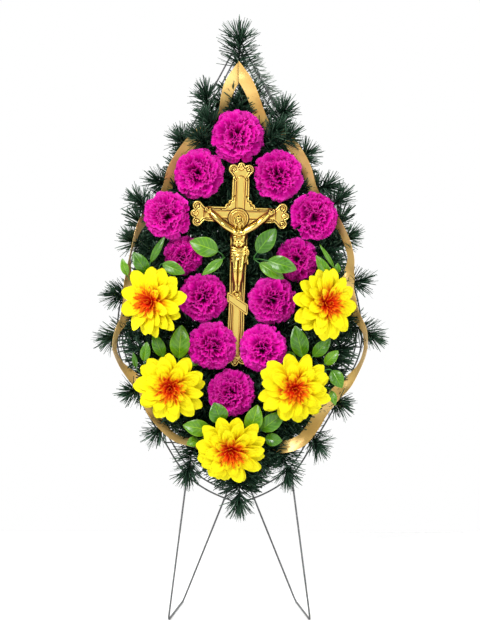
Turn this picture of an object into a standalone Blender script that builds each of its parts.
"""Drop-shaped funeral wreath on its own wire stand.

A welded wire frame carries artificial fir twigs, carnations, dahlias, leaves, a ribbon and a
gilt crucifix. Metres, +Z up. The wreath faces -Y, and the origin is on the floor, midway
between the feet. Places in the lists below are millimetres: x to the viewer's right, depth
behind (+) or before (-) the front hoop, and z above the floor.
"""

import math
import random

import bmesh
import bpy
from mathutils import Matrix, Vector
from mathutils.bvhtree import BVHTree

MM = 0.001
GAP = 0.3 * MM  # running gap between pieces that rest on each other

# Wire frame
HOOP_Y = 0.030  # the front hoop stands this far behind the middle of the feet
REAR_HOOP_DEPTH = 60  # the rear hoop, behind the front one
REAR_HOOP_SHARE = 0.975
WIRE_R = 1.5 * MM
WIRE_SIDES = 4
WIRE_CORNER = WIRE_R * math.sqrt(math.pi / 2)  # a square bar with the round wire's section
RUNG_SHARE = 0.9  # the rungs are thinner than the hoops,
SPINE_SHARE = 0.96  # and so are the spine
STRUT_SHARE = 0.85  # and the struts
SPINE_END = 1  # the spine ends this far inside the hoop's corners
SPINE_DEPTH = 0.9 * WIRE_R / MM  # the spine lies just behind the rungs' middles
WIRE_FLAT = WIRE_CORNER * math.cos(math.pi / WIRE_SIDES)
RUNG_FLAT = RUNG_SHARE * WIRE_FLAT
# Right half of the drop outline, from its top to its foot
OUTLINE = (
    (0, 1074), (28, 1019), (78, 928), (136, 822), (179, 722), (211, 628), (229, 543),
    (229, 490), (205, 430), (143, 317), (94, 246), (24, 206), (0, 199),
)
OUTLINE_MIDDLE_Z = 600
RUNG_Z = (884, 812, 734, 664, 580, 492, 416, 312)
STRUT_Z = {"upper": 928, "middle": 628, "lower": 317}  # where short struts tie the two hoops
STRUT_ROOM = 1.5 * GAP  # between a strut's slanting end and its hoop

# Legs: each is one bent wire with a straight run along the floor
LEG_R = 1.7 * MM
LEG_SIDES = 8
FOOT_FRONT = (128, -130)  # x, depth
FOOT_REAR = (108, 70)
LEG_TOP = (97, 262)  # x, z
LEG_INNER_TOP = (19, 223)
BEND_REACH = 14.4  # each bend starts and ends this far from its corner
BEND_SHARES = (0.0, 0.33, 0.67, 1.0)  # its points

# Fir twigs
CORE_R = 1.8 * MM
CORE_SIDES = 5
NEEDLE_LENGTH = 39 * MM
NEEDLE_R = 1.0 * MM  # half its width at the root
NEEDLE_BAND = 1.7 * MM  # length of core that carries one whorl of needles
NEEDLE_ROOM = 1.1 * MM  # clear space kept round a needle's middle line
NEEDLE_LIMIT_X = 270 * MM  # a side needle ends no further out than this
NEEDLE_LEAN = (76, 22, 10)  # from the core in degrees: at the foot, less at the tip, give or take
NEEDLE_SIZES = (1.0, 0.8, 0.6)  # lengths that are tried until one is clear
BEND_FROM = 0.7  # share of a twig's length from which it bends forward
BURST_STEPS = (4, 14, 25, 37, 50)  # from a tip inwards, where the needles stand close
INNER_STEP = 66 * MM  # between whorls further in
CORE_TAPER = 0.25  # share of its radius that a core loses towards its tip
CORE_START = 0.6  # share of its radius that it starts with, inside the shoot it grows from
CORE_ACROSS = Vector((0.2, 1, 0.1))  # the first flat of a core looks this way
CORE_STEPS = 8
CORE_TWIST = 0.5  # of a side, from one whorl of needles to the next
FIRST_WHORL = 6 * MM  # from a core's foot
BURST_ROOM = 14 * MM  # between the inner whorls and the burst
NEEDLE_SWING = (0.3, 0.12)  # sideways, give or take
NEEDLE_TRIES = 3
NEEDLE_DRAW = (0.92, 1.06)  # a needle's length, as a share of the usual
NEEDLE_CLEAR_FROM = 0.6 * MM
NEEDLE_ROOT = 2 * MM  # needles of one whorl may meet within this of their roots
NEEDLES_APART = 0.15 * MM
TIP_SHARE = 0.8  # the needle that ends a core, as a share of the usual
PARALLEL = 1e-14  # below this, two needles count as parallel
PATH_STEP = 1.2 * MM  # between the places where a path is felt for clear space
TWIG_DEPTH = -(WIRE_FLAT + CORE_R + GAP) / MM
# Each twig: where its main shoot starts (x, z), then the tips of its shoots (x, z, depth)
TWIGS = {
    "fir_twig_top": ((0, 870), ((0, 1066, -14),)),
    "fir_twig_left_upper": ((-22, 772), ((-108, 880, -22), (-62, 964, -16), (-151, 802, -22))),
    "fir_twig_left_middle": ((-28, 610), ((-229, 589, -24), (-199, 692, -22), (-240, 509, -13))),
    "fir_twig_left_lower": ((-34, 470), ((-153, 333, -24), (-199, 410, -24), (-97, 258, -18))),
    "fir_twig_right_upper": ((22, 772), ((125, 852, -22), (83, 935, -16), (165, 792, -22))),
    "fir_twig_right_middle": ((28, 610), ((225, 614, -24), (202, 697, -22), (247, 515, -13))),
    "fir_twig_right_lower": ((34, 470), ((146, 308, -24), (187, 388, -24), (91, 254, -18))),
    "fir_twig_bottom": ((0, 372), ((0, 200, -14),)),
}
CARNATION_SEED, DAHLIA_SEED, FIR_SEED = 100, 300, 7
FORK_SHARE = 0.11  # each side shoot leaves the main one this share of its length further on

# Carnations: x, z, depth of the neck, radius, yaw and pitch in degrees
CARNATIONS = (
    (-4, 884, -36, 49, 0, 8),
    (-74, 814, -38, 47, -12, 4),
    (71, 811, -38, 47, 12, 2),
    (-133, 737, -42, 45, -14, 0),
    (137, 735, -42, 45, 14, 0),
    (-104, 664, -22, 37, -6, -4),
    (106, 656, -26, 40, 6, 0),
    (-68, 584, -34, 45, 0, 0),
    (62, 580, -34, 45, 0, 0),
    (-50, 495, -43, 45, 0, 0),
    (44, 490, -43, 45, 0, 0),
    (-15, 408, -43, 44, 0, 0),
)
# Each layer: slope from the flat in degrees, share of the radius, ruffle, points round its edge
CARNATION_LAYERS = (
    (4, 1.00, 0.10, 20),
    (30, 0.99, 0.11, 18),
    (54, 0.93, 0.10, 14),
    (76, 0.86, 0.08, 8),
)
# Between the layers: radius and height of each fold, and its points
CARNATION_FOLDS = ((5, 0, 8), (8, 4, 8), (6.5, 8, 8), (4.5, 13, 6))
FOLD_REACH = 3 * MM  # the layers spring from this far out, and this far above the neck
HEART_RISE = 5 * MM  # the middle stands this far above the last fold
HEART_ROOM = 2 * MM  # no ruffle comes nearer to the middle than this
RUFFLE_DRAW = (0.6, 1.0)  # the size of each wave of a ruffle, as a share of the layer's
TEETH_SHARE = 0.03  # every other point round an edge stands out by this share of the reach
EDGE_DRAW = (-0.04, 0.01)  # and each point by a further share
CARNATION_ROLL = 1.3  # each head is turned by this angle from the one before
CARNATION_NECK = (14 * MM, 5.5 * MM, 5.0 * MM)  # the cup under a bloom: depth, radius above and below
PETAL_SHEET = 1.0 * MM

# Dahlias: x, z, depth of the back, yaw and pitch in degrees
DAHLIAS = (
    (-158, 577, -72, -28, 0),
    (156, 573, -72, 28, 0),
    (-126, 421, -70, -4, -14),
    (101, 419, -82, 2, -8),
    (-15, 306, -64, 0, -22),
)
DAHLIA_PETALS = 11  # in each ring
# Each ring of petals: length, half width, rise from the flat in degrees
DAHLIA_RINGS = ((64, 14.5, 6), (53, 12.5, 20), (37, 9, 38))
DAHLIA_CORE = ((9, 0), (12, 1.2), (12.5, 4), (11, 7.5), (8.5, 10.5), (5, 13))  # radius and height
DAHLIA_TOP = 19  # height of the core's middle
SPIKE_LENGTH = 17 * MM  # the short spikes of the heart
SPIKE_DRAW = (0.85, 1.1)
SPIKE_OUT = 0.5  # how far a spike leans out, to 1 up
RISE_DRAW = 2  # degrees, give or take
PETAL_DRAW = (0.94, 1.04)
DAHLIA_ROLL = 0.7
# Along a petal: share of its length, share of its half width, lift in millimetres
PETAL_STATIONS = ((0.68, 1.0, 1.4), (1.0, 0.4, 0))
PETAL_ROLL = math.radians(15)  # each petal tips to one side, over its neighbour
DAHLIA_NECK = (10 * MM, 8.5 * MM, 5.5 * MM)

# Leaves: foot (x, z), tip (x, z), width and depth, by the bloom or sprig that carries them
LEAVES = {
    "dahlia_stem_1": (
        ((-208, 626), (-217, 656), 15, -52), ((-170, 630), (-196, 668), 26, -56),
        ((-164, 650), (-138, 697), 13, -60), ((-141, 647), (-101, 629), 24, -64),
    ),
    "dahlia_stem_2": (
        ((168, 618), (142, 662), 20, -60), ((176, 640), (149, 682), 8, -54),
        ((182, 630), (182, 648), 12, -48),
    ),
    "dahlia_stem_3": (
        ((-112, 472), (-107, 533), 37, -52), ((-141, 475), (-159, 517), 23, -50),
        ((-177, 467), (-171, 502), 19, -46), ((-192, 454), (-197, 482), 10, -40),
        ((-104, 471), (-66, 466), 23, -31),
    ),
    "dahlia_stem_4": (
        ((118, 474), (103, 532), 33, -56), ((137, 476), (168, 508), 24, -54),
        ((159, 461), (183, 486), 21, -50), ((106, 466), (74, 478), 27, -31),
        ((172, 449), (190, 418), 26, -56), ((170, 412), (177, 386), 14, -60),
    ),
    "dahlia_stem_5": (
        ((-32, 354), (-46, 391), 35, -80), ((-54, 339), (-104, 348), 31, -50),
        ((-77, 321), (-97, 312), 19, -40), ((20, 336), (34, 386), 33, -62),
        ((40, 339), (83, 372), 31, -56), ((48, 323), (79, 319), 24, -46),
    ),
    "leaf_sprig_left": (((-40, 670), (-91, 688), 36, -58), ((-31, 655), (-68, 626), 17, -70)),
    "leaf_sprig_right": (
        ((33, 668), (67, 711), 33, -60), ((53, 652), (105, 636), 31, -74),
        ((38, 648), (82, 619), 24, -56),
    ),
}
SPRIG_ROOTS = {"leaf_sprig_left": (-31, 664), "leaf_sprig_right": (28, 664)}
LEAF_THICK = 0.9 * MM
STALK_HALF = 1.0 * MM
LEAF_SPACING = 1.3 * MM  # along the stem, between one leaf's foot and the next
STEM_R = 2.0 * MM
DAHLIA_STEM_R = 1.2 * STEM_R
LEAF_JOIN = 0.3  # how far along a dahlia's stem its leaves spring
STEM_SIDES = 4
STEM_FLAT = STEM_R * math.cos(math.pi / STEM_SIDES)
STEM_FRONT = -7  # depth at which a stem meets its rung
STEM_REACH = 13  # how far a stem runs on behind the rung that it lies on
STEM_SHIFTS = (0, 4, -4, 8, -8, 12, -12, 16, -16, 20, -20)  # sideways, until it passes the fir
STEM_ROOM = STEM_R + 0.1 * MM
SPRIG_DEPTH = -50  # where the top of a leaf sprig's stem ends
SPRIG_DROP = 8
SPRIG_NECK = (12 * MM, 1.2 * MM, 1.6 * MM)
LEAF_BOW = 0.06  # a blade bows forward by this share of its length
LEAF_FOLD = 0.18  # and folds along its midrib by this share of its half width
LEAF_STATIONS = ((0.0, 0.10), (0.32, 0.49), (0.66, 0.40))  # share of the length, and of the width

# Ribbon, from the top down one side: x, z, depth and turn about its length in degrees
RIBBON_WIDTH = 24 * MM
RIBBON_THICK = 0.8 * MM
RIBBON_FEEL = (range(-15, 16, 3), range(-9, 10, 3))  # where a resting point feels for what is behind it
RIBBON_LEFT = (
    (-3, 1016, -30, 8), (-20, 992, -31, 12), (-33, 960, -27, 30), (-40, 925, -16, 20),
    (-48, 896, -9, 0), (-70, 892, -24, 10), (-100, 862, -30, 20), (-124, 826, -28, 25),
    (-135, 786, -24, 25), (-149, 760, -14, 20), (-164, 744, -10, 0), (-180, 728, -24, 50),
    (-196, 690, -34, 80), (-205, 650, -34, 82), (-207, 616, -26, 50), (-205, 591, -12, 0),
    (-213, 550, -20, 40), (-228, 520, -31, 70), (-233, 490, -28, 76), (-222, 462, -24, 70),
    (-203, 440, -20, 45), (-180, 417, -12, 0), (-160, 366, -18, 20), (-140, 340, -24, 40),
    (-118, 322, -26, 50), (-90, 314, -22, 40), (-58, 311, -11, 0),
)
RIBBON_RIGHT = (
    (-2, 1014, -34, 8), (18, 990, -35, 10), (32, 950, -31, 25), (42, 920, -18, 20),
    (58, 893, -9, 0), (79, 892, -26, 10), (104, 862, -30, 20), (125, 826, -28, 25),
    (136, 786, -24, 25), (149, 760, -14, 20), (164, 744, -10, 0), (182, 726, -26, 50),
    (200, 690, -34, 62), (208, 656, -34, 62), (206, 632, -24, 40), (203, 613, -12, 0),
    (214, 560, -20, 40), (234, 520, -31, 72), (236, 492, -28, 78), (224, 456, -24, 74),
    (206, 430, -20, 45), (172, 396, -12, 0), (152, 368, -18, 10), (138, 344, -24, 20),
    (116, 318, -26, 25), (86, 306, -22, 20), (58, 308, -11, 0),
)

# Crucifix
CROSS_MIDDLE = (1, 738)  # x, z of the crossing
CROSS_FRONT_DEPTH = -50
CROSS_THICK = 8
CROSS_LEAN = math.radians(2)  # its top leans to the viewer's right
CROSS_TIP = math.radians(2.5)  # and its foot is pressed into the greenery
CROSS_UP, CROSS_DOWN, CROSS_ARM = 94, 282, 92
SHAFT_HALF = 16
BAR_HALF = 14
ARM_FILLET = 12  # between an arm and the next
FOOT_NARROWS = (150, 1.5)  # this far down, the shaft is this much narrower on either side
NECK = ((34, 0), (27, 1.5))  # before an arm's end: how far short of its reach, how much narrower
# Each lobe of an arm's end: how far short of its reach, how far across, radius, first and last angle
LOBES = ((13, -14.5, 9.0, -150, 50), (6.5, 0, 6.5, -62, 62), (13, 14.5, 9.0, -50, 150))
LOBE_POINTS = 4
FOOTREST = ((-17, -162), (-16.5, -144), (20, -166), (19.5, -186))
FOOTREST_FRONT = -2.5
DISC_MIDDLE = (-2.5, -7)
DISC_R = 19
DISC_FRONT = -3
DISC_POINTS = 16
RAISED_BACK = 6  # the disc and footrest run this far into the cross
PEG_R = 3.0 * MM
PEG_SIDES = 6
PEG_X = -8  # the pegs stand beside the spine
PEG_REACH = 9  # how far they run on behind their rungs

# The figure, in the cross's own millimetres. Its trunk and cloth: height, depth, half width, half depth
TRUNK = ((-22, -9.6, 9, 4.5), (-29, -10.4, 14, 6), (-41, -10.8, 12.5, 6.4), (-53, -9.6, 10, 5.6), (-62, -9, 11.5, 6))
LOINCLOTH = ((-58, -9.4, 13.5, 7), (-66, -9.8, 15.4, 8), (-80, -9.6, 14.6, 7.8), (-87, -9.2, 12.6, 6.6))
# Its limbs: x, depth, height and radius. Arms and legs are the right-hand ones
HEAD = ((0, -10, -24, 3.6), (0, -12, -17, 6.2), (0, -12.6, -11, 7.6), (0, -12, -4, 6.4), (0, -11.4, -0.5, 2.6))
BEARD = ((0, -13.6, -19, 4.4), (0, -14, -24, 1.4))
NOSE = ((0, -18.6, -8.4, 0.8), (0, -20.2, -12.6, 1.5), (0, -18.4, -13.8, 1.0))
ARM = ((9, -10, -29, 5.6), (24, -9, -23, 5.2), (35, -8, -15.5, 4.5), (51, -4.6, 0, 3.0), (58, -3.7, 5, 3.6))
LEG = ((5.2, -10, -74, 6.6), (5, -14, -102, 5.2), (4, -9.4, -122, 4.4), (2.4, -6, -137, 3.2), (2.2, -5, -147, 3.6))
KNOT = ((14, -11, -60, 3.6), (18, -10, -72, 4.2), (17, -9, -88, 2.2))
BODY_SIDES, HEAD_SIDES, LIMB_SIDES, NOSE_SIDES = 6, 7, 5, 4
LIMB_ACROSS = Vector((0.35, 0.2, 0.9))  # sets how the limbs' flat sides lie

DOWN = Vector((0, 0, -1))

GREEN_DARK = (0.012, 0.045, 0.020)
GREEN_LEAF = (0.10, 0.36, 0.02)
MAGENTA = (0.55, 0.005, 0.40)
YELLOW = (0.95, 0.78, 0.01)
GOLD = (0.86, 0.58, 0.16)
RIBBON_GOLD = (0.66, 0.42, 0.12)
STEEL = (0.16, 0.16, 0.16)


def at(x, depth, z):
    """A point given in millimetres, as a vector in metres."""
    return Vector((x * MM, HOOP_Y + depth * MM, z * MM))


def material(name, colour, roughness, metallic=0.0):
    made = bpy.data.materials.get(name) or bpy.data.materials.new(name)
    made.use_nodes = True
    shader = made.node_tree.nodes["Principled BSDF"]
    shader.inputs["Base Color"].default_value = (*colour, 1)
    shader.inputs["Roughness"].default_value = roughness
    shader.inputs["Metallic"].default_value = metallic
    return made


def make(name, shape, finish):
    """An object of this shape, a pair of points and faces, with its faces pointing out."""
    points, faces = shape
    mesh = bpy.data.meshes.new(name)
    mesh.from_pydata([tuple(p) for p in points], [], faces)
    shell = bmesh.new()
    shell.from_mesh(mesh)
    bmesh.ops.recalc_face_normals(shell, faces=shell.faces)
    shell.to_mesh(mesh)
    shell.free()
    mesh.materials.append(finish)
    made = bpy.data.objects.new(name, mesh)
    bpy.context.scene.collection.objects.link(made)
    return made


def union(name, shapes, finish, solver="EXACT"):
    """One body of several closed shapes that run into each other."""
    made = make(name, shapes[0], finish)
    group = bpy.data.collections.new(name + "_pieces")
    bpy.context.scene.collection.children.link(group)
    for shape in shapes[1:]:
        piece = make(name + "_piece", shape, finish)
        bpy.context.scene.collection.objects.unlink(piece)
        group.objects.link(piece)
    join = made.modifiers.new("join", "BOOLEAN")
    join.operation = "UNION"
    join.operand_type = "COLLECTION"
    join.collection = group
    join.solver = solver
    bpy.context.view_layer.update()
    graph = bpy.context.evaluated_depsgraph_get()
    joined = bpy.data.meshes.new_from_object(made.evaluated_get(graph))
    made.modifiers.clear()
    made.data = joined
    for piece in list(group.objects):
        bpy.data.objects.remove(piece)
    bpy.data.collections.remove(group)
    return made


def ring_faces(rings, sides, closed=False):
    """Quads between rings of points that follow each other, with flat ends unless closed."""
    faces = []
    for i in range(rings if closed else rings - 1):
        j = (i + 1) % rings
        for k in range(sides):
            m = (k + 1) % sides
            faces.append((i * sides + k, i * sides + m, j * sides + m, j * sides + k))
    if not closed:
        faces.append(tuple(range(sides))[::-1])
        faces.append(tuple((rings - 1) * sides + k for k in range(sides)))
    return faces


def tangent_at(points, i, closed):
    last = len(points) - 1
    before = points[i - 1] if closed or i > 0 else points[i]
    after = points[(i + 1) % len(points)] if closed or i < last else points[i]
    return (after - before).normalized()


def tube(points, radii, sides, across, closed=False):
    """A bar along the points. One of its flats faces square to across."""
    if not isinstance(radii, (list, tuple)):
        radii = [radii] * len(points)
    made = []
    for i, point in enumerate(points):
        along = tangent_at(points, i, closed)
        side = (across - along * across.dot(along)).normalized()
        up = along.cross(side)
        for k in range(sides):
            turn = (k + 0.5) * math.tau / sides
            made.append(point + (side * math.cos(turn) + up * math.sin(turn)) * radii[i])
    return made, ring_faces(len(points), sides, closed)


def mapped(shape, matrix):
    points, faces = shape
    return [matrix @ Vector(p) for p in points], faces


def facing(yaw, pitch):
    """The direction that a bloom looks in: 0, 0 is straight at the viewer."""
    yaw, pitch = math.radians(yaw), math.radians(pitch)
    flat = math.cos(pitch)
    return Vector((math.sin(yaw) * flat, -math.cos(yaw) * flat, math.sin(pitch)))


def bloom_matrix(base, axis, roll):
    turn = axis.to_track_quat("Z", "Y").to_matrix().to_4x4()
    return Matrix.Translation(base) @ turn @ Matrix.Rotation(roll, 4, "Z")


# Wire frame and legs


def outline_knots(share=1.0, depth=0):
    middle = OUTLINE_MIDDLE_Z
    right = [(x * share, middle + (z - middle) * share) for x, z in OUTLINE]
    left = [(-x, z) for x, z in right[-2:0:-1]]
    return [at(x, depth, z) for x, z in right + left]


def outline_half_width(z):
    """Half the front hoop's width at this height."""
    for (x0, z0), (x1, z1) in zip(OUTLINE, OUTLINE[1:]):
        if z1 <= z <= z0:
            return x0 + (x1 - x0) * (z0 - z) / (z0 - z1)
    return 0


def build_frame(finish):
    """The front hoop with its rungs and spine, the rear hoop, and the struts that tie the two."""
    across = Vector((0, 1, 0))
    shapes = [tube(outline_knots(), WIRE_CORNER, WIRE_SIDES, across, closed=True)]
    spine = [at(0, SPINE_DEPTH, OUTLINE[0][1] - SPINE_END), at(0, SPINE_DEPTH, OUTLINE[-1][1] + SPINE_END)]
    shapes.append(tube(spine, WIRE_CORNER * SPINE_SHARE, WIRE_SIDES, across))
    for z in RUNG_Z:
        half = outline_half_width(z)
        rung = [at(-half, 0, z), at(half, 0, z)]
        shapes.append(tube(rung, WIRE_CORNER * RUNG_SHARE, WIRE_SIDES, across))
    made = [union("wire_frame", shapes, finish)]
    rear = outline_knots(REAR_HOOP_SHARE, REAR_HOOP_DEPTH)
    made.append(make("rear_hoop", tube(rear, WIRE_CORNER, WIRE_SIDES, across, closed=True), finish))
    for level, z in STRUT_Z.items():
        half = outline_half_width(z)
        z_rear = OUTLINE_MIDDLE_Z + (z - OUTLINE_MIDDLE_Z) * REAR_HOOP_SHARE
        for side, word in ((-1, "left"), (1, "right")):
            start = at(side * half, 0, z)
            end = at(side * half * REAR_HOOP_SHARE, REAR_HOOP_DEPTH, z_rear)
            inset = (WIRE_FLAT + STRUT_ROOM) / (end - start).length
            line = [start.lerp(end, inset), end.lerp(start, inset)]
            strut = tube(line, WIRE_CORNER * STRUT_SHARE, WIRE_SIDES, Vector((0, 0, 1)))
            made.append(make(f"strut_{word}_{level}", strut, finish))
    return made


def leg_path(side):
    """Down from the front hoop, back along the floor, and up to the rear hoop."""
    floor_z = LEG_R * math.cos(math.pi / LEG_SIDES) / MM
    beside = (WIRE_FLAT + LEG_R + GAP) / MM
    front_x, front_d = FOOT_FRONT
    rear_x, rear_d = FOOT_REAR
    corners = [
        at(side * LEG_TOP[0], -beside, LEG_TOP[1]),
        at(side * front_x, front_d, floor_z),
        at(side * rear_x, rear_d, floor_z),
        at(side * LEG_INNER_TOP[0], REAR_HOOP_DEPTH + beside, LEG_INNER_TOP[1]),
    ]
    points = [corners[0]]
    for before, corner, after in zip(corners, corners[1:], corners[2:]):
        start = corner + (before - corner).normalized() * BEND_REACH * MM
        end = corner + (after - corner).normalized() * BEND_REACH * MM
        for t in BEND_SHARES:
            near, far = start.lerp(corner, t), corner.lerp(end, t)
            points.append(near.lerp(far, t))
    points.append(corners[-1])
    return points


def build_leg(name, side, finish):
    return make(name, tube(leg_path(side), LEG_R, LEG_SIDES, Vector((1, 0, 0))), finish)


# Crucifix


def trefoil_end(reach, half):
    """Outline of one arm's end, in the arm's own x (out) and y (across)."""
    neck = [(reach - short, half - narrower) for short, narrower in NECK]
    points = [(x, -y) for x, y in neck]
    for short, across, radius, start, end in LOBES:
        for k in range(LOBE_POINTS):
            turn = math.radians(start + (end - start) * k / (LOBE_POINTS - 1))
            points.append((reach - short + radius * math.cos(turn), across + radius * math.sin(turn)))
    return points + neck[::-1]


def cross_outline():
    """Right arm, top, left arm and foot, anticlockwise as seen from the front."""
    arms = (
        (CROSS_ARM, BAR_HALF, 0), (CROSS_UP, SHAFT_HALF, 90),
        (CROSS_ARM, BAR_HALF, 180), (CROSS_DOWN, SHAFT_HALF, 270),
    )
    points = []
    for reach, half, turn in arms:
        spin = Matrix.Rotation(math.radians(turn), 2)
        fillet = SHAFT_HALF + ARM_FILLET
        inner = [(fillet, -half)]
        if reach == CROSS_DOWN:
            inner.append((FOOT_NARROWS[0], FOOT_NARROWS[1] - half))
        end = trefoil_end(reach, half)
        outer = [(x, -y) for x, y in reversed(inner)]
        points += [spin @ Vector(p) for p in inner + end + outer]
    return points


def cross_matrix():
    lean = Matrix.Rotation(CROSS_LEAN, 4, "Y") @ Matrix.Rotation(CROSS_TIP, 4, "X")
    x, z = CROSS_MIDDLE
    return Matrix.Translation(at(x, CROSS_FRONT_DEPTH, z)) @ lean


def slab(outline, front, back):
    """A plate of this outline (x, z in millimetres) between two depths."""
    count = len(outline)
    points = [Vector((p[0], depth, p[1])) * MM for depth in (front, back) for p in outline]
    faces = [(k, (k + 1) % count, count + (k + 1) % count, count + k) for k in range(count)]
    faces.append(tuple(range(count)))
    faces.append(tuple(range(2 * count - 1, count - 1, -1)))
    return points, faces


def build_cross(finish):
    outline = cross_outline()
    lean = cross_matrix()
    shapes = [mapped(slab(outline, 0, CROSS_THICK), lean)]
    shapes.append(mapped(slab(FOOTREST, FOOTREST_FRONT, RAISED_BACK), lean))
    turns = [k * math.tau / DISC_POINTS for k in range(DISC_POINTS)]
    x, z = DISC_MIDDLE
    disc = [(x + DISC_R * math.cos(a), z + DISC_R * math.sin(a)) for a in turns]
    shapes.append(mapped(slab(disc, DISC_FRONT, RAISED_BACK), lean))
    for z in (RUNG_Z[2], RUNG_Z[4]):
        peg_z = z + (RUNG_FLAT + PEG_R + GAP) / MM
        lean_in = (CROSS_MIDDLE[1] - peg_z) * math.tan(CROSS_TIP)
        start = at(PEG_X, CROSS_FRONT_DEPTH + CROSS_THICK / 2 + lean_in, peg_z)
        shapes.append(tube([start, at(PEG_X, PEG_REACH, peg_z)], PEG_R, PEG_SIDES, Vector((1, 0, 0))))
    return union("cross", shapes, finish)


def limb(knots, sides, side=1):
    """A tapered limb of the figure. Side -1 is the left-hand one."""
    points = [Vector((side * x, depth, z)) * MM for x, depth, z, _ in knots]
    return tube(points, [knot[3] * MM for knot in knots], sides, LIMB_ACROSS)


def body_ring(z, depth, half_x, half_y):
    turns = [(k + 0.5) * math.tau / BODY_SIDES for k in range(BODY_SIDES)]
    return [Vector((half_x * math.cos(a), depth + half_y * math.sin(a), z)) * MM for a in turns]


def build_figure(finish):
    """The figure, fixed to the cross by its hands and feet, with a plain head of its own."""
    shapes = []
    for body in (TRUNK, LOINCLOTH):
        rings = [body_ring(*ring) for ring in body]
        shapes.append((sum(rings, []), ring_faces(len(rings), BODY_SIDES)))
    shapes += [limb(HEAD, HEAD_SIDES), limb(BEARD, LIMB_SIDES), limb(NOSE, NOSE_SIDES), limb(KNOT, LIMB_SIDES)]
    for side in (-1, 1):
        shapes += [limb(ARM, LIMB_SIDES, side), limb(LEG, LIMB_SIDES, side)]
    lean = cross_matrix()
    return union("crucified_figure", [mapped(s, lean) for s in shapes], finish)


# Blooms


def zip_rings(low, low_count, high, high_count):
    """Triangles between two rings of points, whatever their counts, chosen by angle alone."""
    faces = []
    i = j = 0
    while i < low_count or j < high_count:
        a, b = low + i % low_count, high + j % high_count
        if (i + 0.5) / low_count < (j + 0.5) / high_count:
            faces.append((a, low + (i + 1) % low_count, b))
            i += 1
        else:
            faces.append((a, high + (j + 1) % high_count, b))
            j += 1
    return faces


def carnation_shape(radius, seed):
    """Nested ruffled cups that grow from one neck, as one closed sheet. Its axis is +Z."""
    draw = random.Random(seed)
    rings = []
    for (fold_r, fold_z, fold_points), layer in zip(CARNATION_FOLDS, CARNATION_LAYERS):
        slope, share, ruffle, count = layer
        slope = math.radians(slope)
        rings.append([(fold_r * MM, fold_z * MM)] * fold_points)
        waves = []
        for k in range(count):
            flip = 1 if k % 2 else -1
            wave = flip * ruffle * radius * draw.uniform(*RUFFLE_DRAW)
            reach = (radius - FOLD_REACH) * share * (1 + TEETH_SHARE * flip + draw.uniform(*EDGE_DRAW))
            waves.append((reach, wave))
        for face in (-0.5, 0.5):
            ring = []
            for reach, wave in waves:
                off = wave + face * PETAL_SHEET
                r = FOLD_REACH + reach * math.cos(slope) - off * math.sin(slope)
                z = FOLD_REACH + reach * math.sin(slope) + off * math.cos(slope)
                ring.append((max(r, HEART_ROOM), z))
            rings.append(ring)
    points = []
    starts = []
    for ring in rings:
        starts.append(len(points))
        for k, (r, z) in enumerate(ring):
            turn = k * math.tau / len(ring)
            points.append(Vector((r * math.cos(turn), r * math.sin(turn), z)))
    faces = [tuple(range(len(rings[0])))[::-1]]
    for i in range(len(rings) - 1):
        low, high = rings[i], rings[i + 1]
        if len(low) <= len(high):
            faces += zip_rings(starts[i], len(low), starts[i + 1], len(high))
        else:
            flipped = zip_rings(starts[i + 1], len(high), starts[i], len(low))
            faces += [face[::-1] for face in flipped]
    points.append(Vector((0, 0, CARNATION_FOLDS[-1][1] * MM + HEART_RISE)))
    last, count = starts[-1], len(rings[-1])
    faces += [(last + k, last + (k + 1) % count, len(points) - 1) for k in range(count)]
    return points, faces


def petal_section(root, out, side, up, reach, half, rise):
    """Corners of a petal across its length: under left, under right, upper right, upper left."""
    middle = root + out * reach + up * rise
    edge = side * math.cos(PETAL_ROLL) + up * math.sin(PETAL_ROLL)
    lift = up * math.cos(PETAL_ROLL) - side * math.sin(PETAL_ROLL)
    thin = lift * PETAL_SHEET * 0.5
    return [middle - edge * half - thin, middle + edge * half - thin,
            middle + edge * half + thin, middle - edge * half + thin]


def dahlia_shape(seed):
    """Rings of petals raised from the flats of a small core, with spikes at its heart."""
    draw = random.Random(seed)
    count = DAHLIA_PETALS
    points, faces = [], []
    for i, (r, z) in enumerate(DAHLIA_CORE):
        for k in range(count):
            turn = (k + 0.5 * i) * math.tau / count
            points.append(Vector((r * MM * math.cos(turn), r * MM * math.sin(turn), z * MM)))
    faces.append(tuple(range(count))[::-1])
    for i in range(len(DAHLIA_CORE) - 1):
        for k in range(count):
            m = (k + 1) % count
            low, high = i * count, (i + 1) * count
            quad = (low + k, low + m, high + m, high + k)
            if i == 0:
                faces.append(quad)
            elif i <= len(DAHLIA_RINGS):
                raise_petal(points, faces, quad, DAHLIA_RINGS[i - 1], draw)
            else:
                raise_spike(points, faces, quad, SPIKE_LENGTH * draw.uniform(*SPIKE_DRAW))
    top = (len(DAHLIA_CORE) - 1) * count
    points.append(Vector((0, 0, DAHLIA_TOP * MM)))
    faces += [(top + k, top + (k + 1) % count, len(points) - 1) for k in range(count)]
    return points, faces


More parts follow.
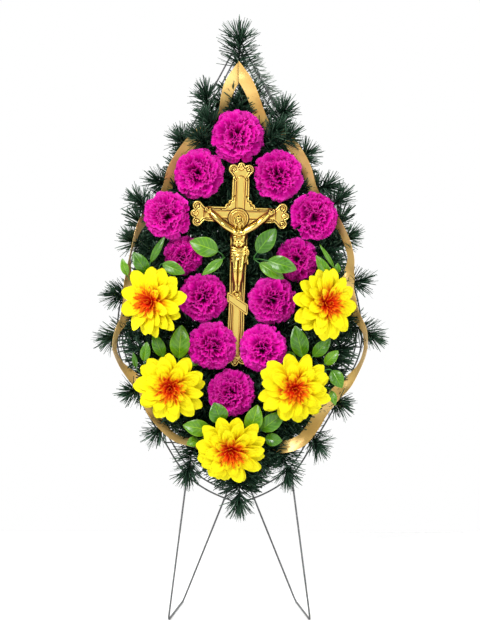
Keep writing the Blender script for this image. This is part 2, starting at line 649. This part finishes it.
def raise_petal(points, faces, quad, ring, draw):
    """Draws one petal out of a flat of the core."""
    length, half, rise = ring
    centre = sum((points[i] for i in quad), Vector()) / 4
    flat = Vector((centre.x, centre.y, 0)).normalized()
    slope = math.radians(rise + draw.uniform(-RISE_DRAW, RISE_DRAW))
    out = flat * math.cos(slope) + Vector((0, 0, math.sin(slope)))
    side = Vector((0, 0, 1)).cross(flat)
    up = out.cross(side)
    length *= MM * draw.uniform(*PETAL_DRAW)
    half *= MM
    edge = list(quad)
    for share, width, lift in PETAL_STATIONS:
        start = len(points)
        points += petal_section(centre, out, side, up, length * share, half * width, lift * MM)
        following = [start, start + 1, start + 2, start + 3]
        for k in range(4):
            m = (k + 1) % 4
            a, b, c, d = edge[k], edge[m], following[m], following[k]
            faces += [(a, b, c), (a, c, d)] if k < 2 else [(a, b, d), (b, c, d)]
        edge = following
    faces.append(tuple(edge))


def raise_spike(points, faces, quad, length):
    centre = sum((points[i] for i in quad), Vector()) / 4
    flat = Vector((centre.x, centre.y, 0)).normalized()
    apex = centre + (flat * SPIKE_OUT + Vector((0, 0, 1))).normalized() * length
    points.append(apex)
    tip = len(points) - 1
    faces.extend((quad[k], quad[(k + 1) % 4], tip) for k in range(4))


# Stems and leaves


def nearest_rung(z):
    return min(RUNG_Z, key=lambda rung: abs(rung - z))


def stem_path(base, axis, x, z, neck):
    """From a bloom's back to the rung it lies on, and a little past it."""
    rest_z = nearest_rung(z) + (RUNG_FLAT + STEM_FLAT + GAP) / MM
    return [
        base - axis * GAP, base - axis * neck * 0.5, base - axis * neck,
        at(x, STEM_FRONT, rest_z), at(x, STEM_REACH, rest_z),
    ]


def obstacles(objects):
    """A search tree of these objects' faces."""
    points, faces = [], []
    for piece in objects:
        start = len(points)
        points += [v.co.copy() for v in piece.data.vertices]
        faces += [[start + i for i in f.vertices] for f in piece.data.polygons]
    return BVHTree.FromPolygons(points, faces)


def path_clear(tree, points, room):
    """True where nothing lies within room of the line through the points."""
    for a, b in zip(points, points[1:]):
        length = (b - a).length
        if tree.ray_cast(a, (b - a).normalized(), length)[0] is not None:
            return False
        steps = max(2, math.ceil(length / PATH_STEP))
        for k in range(steps + 1):
            if tree.find_nearest(a.lerp(b, k / steps), room)[0] is not None:
                return False
    return True


def clear_stem(tree, base, axis, x, z, neck):
    """The stem's path, moved sideways along its rung until it passes the fir cores."""
    for shift in STEM_SHIFTS:
        path = stem_path(base, axis, x + shift, z, neck)
        if path_clear(tree, path[2:], STEM_ROOM):
            return path
    return stem_path(base, axis, x, z, neck)


def leaf_shape(join, foot, tip, width):
    """A thin leaf, folded along its midrib, on a stalk that starts inside the stem."""
    blade = tip - foot
    bow = Vector((0, -LEAF_BOW * blade.length, 0))
    line = [join]
    halves = [STALK_HALF]
    for along_share, width_share in LEAF_STATIONS:
        line.append(foot + blade * along_share + (bow if along_share else Vector()))
        halves.append(max(STALK_HALF, width_share * width))
    line.append(tip)
    points, faces = [], []
    for i, half in enumerate(halves):
        along = tangent_at(line, i, False)
        side = Vector((0, -1, 0)).cross(along).normalized()
        up = along.cross(side)
        if up.y > 0:
            up = -up
        fold = up * LEAF_FOLD * half
        rib, left, right = line[i], line[i] - side * half + fold, line[i] + side * half + fold
        under = up * LEAF_THICK
        points += [left, rib, right, right - under, rib - under, left - under]
    for i in range(len(halves) - 1):
        for k in range(6):
            m = (k + 1) % 6
            a, b, c, d = i * 6 + k, i * 6 + m, i * 6 + 6 + m, i * 6 + 6 + k
            faces += [(a, b, c), (a, c, d)] if k < 3 else [(a, b, d), (b, c, d)]
    faces.append((5, 4, 3, 2, 1, 0))
    last = len(points) - 6
    over, below = last + 6, last + 7
    points += [tip, tip - under]
    faces += [
        (last, last + 1, over), (last + 1, last + 2, over), (last + 2, last + 3, over),
        (last + 3, below, over), (last + 3, last + 4, below), (last + 4, last + 5, below),
        (last + 5, last, over), (last + 5, over, below),
    ]
    return points, faces


def leaves_from(join, along, leaves):
    """Leaves that spring from one point on a stem."""
    shapes = []
    for number, ((foot_x, foot_z), (tip_x, tip_z), width, depth) in enumerate(leaves):
        foot, tip = at(foot_x, depth + 3, foot_z), at(tip_x, depth - 4, tip_z)
        start = join + along * (number - len(leaves) / 2) * LEAF_SPACING
        shapes.append(leaf_shape(start, foot, tip, width * MM))
    return shapes


# Ribbon


def resting_depth(tree, x, z, start):
    """Depth at which a ribbon laid here touches the twig or wire behind it."""
    depths = []
    for dx in RIBBON_FEEL[0]:
        for dz in RIBBON_FEEL[1]:
            hit = tree.ray_cast(at(x + dx, -200, z + dz), Vector((0, 1, 0)))[0]
            if hit is not None and hit.y < HOOP_Y:
                depths.append((hit.y - HOOP_Y - GAP - RIBBON_THICK / 2) / MM)
    return min(depths, default=start)


def ribbon_shape(knots, tree):
    """A flat strip along its knots, turned about its own length and pressed on at its low points."""
    line = []
    for x, z, depth, turn in knots:
        if turn == 0:
            depth = resting_depth(tree, x, z, depth)
        line.append(at(x, depth, z))
    points = []
    for i, point in enumerate(line):
        along = tangent_at(line, i, False)
        flat = Vector((0, 1, 0)).cross(along).normalized()
        face = along.cross(flat).normalized()
        turn = math.radians(knots[i][3]) * (1 if knots[3][0] > 0 else -1)
        width = flat * math.cos(turn) + face * math.sin(turn)
        thick = along.cross(width).normalized() * RIBBON_THICK / 2
        half = width * RIBBON_WIDTH / 2
        points += [point - half - thick, point + half - thick, point + half + thick, point - half + thick]
    faces = []
    for i in range(len(line) - 1):
        for k in range(4):
            m = (k + 1) % 4
            a, b, c, d = i * 4 + k, i * 4 + m, (i + 1) * 4 + m, (i + 1) * 4 + k
            faces += [(a, b, c), (a, c, d)] if k != 2 else [(a, b, d), (b, c, d)]
    faces.append((3, 2, 1, 0))
    last = (len(line) - 1) * 4
    faces.append((last, last + 1, last + 2, last + 3))
    return points, faces


# Fir


def branch_axes(root, tips):
    """One axis for each shoot: out along the frame, then bent towards the viewer."""
    main_x, main_z, _ = tips[0]
    axes = []
    for number, (x, z, depth) in enumerate(tips):
        start_x = root[0] + (main_x - root[0]) * FORK_SHARE * number
        start_z = root[1] + (main_z - root[1]) * FORK_SHARE * number
        axis = []
        for step in range(CORE_STEPS + 1):
            share = step / CORE_STEPS
            bend = max(0.0, (share - BEND_FROM) / (1 - BEND_FROM)) ** 2
            point_x = start_x + (x - start_x) * share
            point_z = start_z + (z - start_z) * share
            axis.append(at(point_x, TWIG_DEPTH + (depth - TWIG_DEPTH) * bend, point_z))
        axes.append(axis)
    return axes


def point_along(points, distance):
    for a, b in zip(points, points[1:]):
        step = (b - a).length
        if distance <= step or b is points[-1]:
            return a.lerp(b, distance / step), (b - a).normalized()
        distance -= step
    return points[-1], (points[-1] - points[-2]).normalized()


def length_of(points):
    return sum((b - a).length for a, b in zip(points, points[1:]))


def core_shape(axis):
    """A sleeve that just holds the branch core, while stems and ribbon find their way round it."""
    return tube(axis, CORE_R / math.cos(math.pi / CORE_SIDES), CORE_SIDES, CORE_ACROSS)


def needles_meet(first, second):
    """True where two straight needles, each tapering to its tip, pass through each other."""
    a, b = first
    c, d = second
    u, v, w = b - a, d - c, a - c
    uu, uv, vv, uw, vw = u.dot(u), u.dot(v), v.dot(v), u.dot(w), v.dot(w)
    span = uu * vv - uv * uv
    s = 0.0 if span < PARALLEL else min(max((uv * vw - vv * uw) / span, 0), 1)
    t = min(max((uv * s + vw) / vv, 0), 1)
    s = min(max((uv * t - uw) / uu, 0), 1)
    return (w + u * s - v * t).length < NEEDLE_R * (2 - s - t) + NEEDLES_APART


def branch_shape(axis, tree, placed, draw):
    """A core along the axis with needles drawn out of its flats."""
    length = length_of(axis)
    inner = length - BURST_STEPS[-1] * MM - BURST_ROOM
    bands = max(1, round(inner / INNER_STEP))
    starts = [FIRST_WHORL + inner * k / bands for k in range(bands)]
    starts += [length - step * MM for step in reversed(BURST_STEPS)]
    stations = [0.0]
    for start in starts:
        stations += [start, start + NEEDLE_BAND]
    points, faces = [], []
    rings = []
    for number, station in enumerate(stations):
        centre, along = point_along(axis, min(station, length))
        side = (CORE_ACROSS - along * CORE_ACROSS.dot(along)).normalized()
        up = along.cross(side)
        twist = CORE_TWIST * ((number + 1) // 2)
        radius = CORE_R * (1 - CORE_TAPER * station / length if number else CORE_START)
        rings.append((centre, along))
        for k in range(CORE_SIDES):
            turn = (k + twist) * math.tau / CORE_SIDES
            points.append(centre + (side * math.cos(turn) + up * math.sin(turn)) * radius)
    faces.append(tuple(range(CORE_SIDES))[::-1])
    for i in range(len(stations) - 1):
        for k in range(CORE_SIDES):
            m = (k + 1) % CORE_SIDES
            low, high = i * CORE_SIDES, (i + 1) * CORE_SIDES
            quad = (low + k, low + m, high + m, high + k)
            if i % 2 == 0:
                faces.append(quad)
                continue
            share = stations[i] / length
            for corners, hand in (((0, 1, 2), 1), ((0, 2, 3), -1)):
                base = tuple(quad[c] for c in corners)
                apex = needle_tip(points, base, rings[i], share, hand, tree, placed, draw)
                if apex is None:
                    faces.append(base)
                    continue
                points.append(apex)
                faces += [(base[j], base[(j + 1) % 3], len(points) - 1) for j in range(3)]
    last = (len(stations) - 1) * CORE_SIDES
    centre, along = point_along(axis, length)
    points.append(centre + along * NEEDLE_LENGTH * TIP_SHARE)
    faces += [(last + k, last + (k + 1) % CORE_SIDES, len(points) - 1) for k in range(CORE_SIDES)]
    placed.append((centre, points[-1]))
    return points, faces


def needle_tip(points, base, ring, share, hand, tree, placed, draw):
    """Where a needle ends, or nothing where no length of it is clear."""
    centre, along = ring
    root = sum((points[i] for i in base), Vector()) / 3
    out = (root - centre) - along * (root - centre).dot(along)
    out.normalize()
    foot_lean, less, spread = NEEDLE_LEAN
    swing, swing_spread = NEEDLE_SWING
    for _ in range(NEEDLE_TRIES):
        lean = math.radians(foot_lean - less * share + draw.uniform(-spread, spread))
        across = along.cross(out) * (hand * swing + draw.uniform(-swing_spread, swing_spread))
        way = (out * math.sin(lean) + along * math.cos(lean) + across).normalized()
        for size in NEEDLE_SIZES:
            apex = root + way * NEEDLE_LENGTH * size * draw.uniform(*NEEDLE_DRAW)
            if abs(apex.x) > NEEDLE_LIMIT_X:
                continue
            if not path_clear(tree, [root + way * NEEDLE_CLEAR_FROM, apex], NEEDLE_ROOM):
                continue
            needle = (root + way * NEEDLE_ROOT, apex)
            if any(needles_meet(needle, other) for other in placed):
                continue
            placed.append(needle)
            return apex
    return None


def clear_scene():
    for thing in list(bpy.data.objects):
        bpy.data.objects.remove(thing)


def build():
    clear_scene()
    steel = material("frame wire", STEEL, 0.4, 0.9)
    fir = material("fir needles", GREEN_DARK, 0.55)
    leaf = material("leaf plastic", GREEN_LEAF, 0.4)
    magenta = material("carnation petals", MAGENTA, 0.75)
    yellow = material("dahlia petals", YELLOW, 0.6)
    gilt = material("gilt plastic", GOLD, 0.25, 0.9)
    ribbon = material("gold ribbon", RIBBON_GOLD, 0.35, 0.3)

    fixed = build_frame(steel)
    front_hoop = fixed[0]
    fixed.append(build_leg("leg_left", -1, steel))
    fixed.append(build_leg("leg_right", 1, steel))
    fixed.append(build_cross(gilt))
    fixed.append(build_figure(gilt))

    axes = {name: branch_axes(root, tips) for name, (root, tips) in TWIGS.items()}
    cores = {
        name: [make(f"{name}_core", core_shape(axis), fir) for axis in group]
        for name, group in axes.items()
    }
    every_core = [core for group in cores.values() for core in group]
    core_tree = obstacles(every_core)
    carriers = obstacles(every_core + [front_hoop])
    fixed.append(make("ribbon_left", ribbon_shape(RIBBON_LEFT, carriers), ribbon))
    fixed.append(make("ribbon_right", ribbon_shape(RIBBON_RIGHT, carriers), ribbon))

    for number, (x, z, depth, radius, yaw, pitch) in enumerate(CARNATIONS, 1):
        axis, base = facing(yaw, pitch), at(x, depth, z)
        matrix = bloom_matrix(base, axis, number * CARNATION_ROLL)
        shape = mapped(carnation_shape(radius * MM, CARNATION_SEED + number), matrix)
        fixed.append(make(f"carnation_{number:02d}", shape, magenta))
        neck, above, below = CARNATION_NECK
        path = clear_stem(core_tree, base, axis, x, z, neck)
        stem = tube(path, [above, below, STEM_R, STEM_R, STEM_R], STEM_SIDES, DOWN)
        fixed.append(make(f"carnation_stem_{number:02d}", stem, leaf))

    for number, (x, z, depth, yaw, pitch) in enumerate(DAHLIAS, 1):
        axis, base = facing(yaw, pitch), at(x, depth, z)
        matrix = bloom_matrix(base, axis, number * DAHLIA_ROLL)
        shape = mapped(dahlia_shape(DAHLIA_SEED + number), matrix)
        fixed.append(make(f"dahlia_{number}", shape, yellow))
        neck, above, below = DAHLIA_NECK
        path = clear_stem(core_tree, base, axis, x, z, neck)
        shapes = [tube(path, [above, below, DAHLIA_STEM_R, STEM_R, STEM_R], STEM_SIDES, DOWN)]
        join = path[2].lerp(path[3], LEAF_JOIN)
        along = (path[3] - path[2]).normalized()
        shapes += leaves_from(join, along, LEAVES[f"dahlia_stem_{number}"])
        fixed.append(union(f"dahlia_stem_{number}", shapes, leaf, "MANIFOLD"))

    for name, (x, z) in SPRIG_ROOTS.items():
        neck, above, below = SPRIG_NECK
        base, axis = at(x, SPRIG_DEPTH, z - SPRIG_DROP), Vector((0, -1, 0))
        path = clear_stem(core_tree, base, axis, x, z, neck)
        shapes = [tube(path, [above, below, STEM_R, STEM_R, STEM_R], STEM_SIDES, DOWN)]
        shapes += leaves_from(path[1], Vector((0, 1, 0)), LEAVES[name])
        fixed.append(union(name, shapes, leaf))

    draw = random.Random(FIR_SEED)
    placed = []
    done = []
    for name, group in axes.items():
        others = [core for key, rest in cores.items() if key != name for core in rest]
        tree = obstacles(fixed + done + others)
        shapes = [branch_shape(axis, tree, placed, draw) for axis in group]
        for core in cores[name]:
            bpy.data.objects.remove(core)
        cores[name] = []
        if len(shapes) > 1:
            done.append(union(name, shapes, fir, "MANIFOLD"))
        else:
            done.append(make(name, shapes[0], fir))


build()
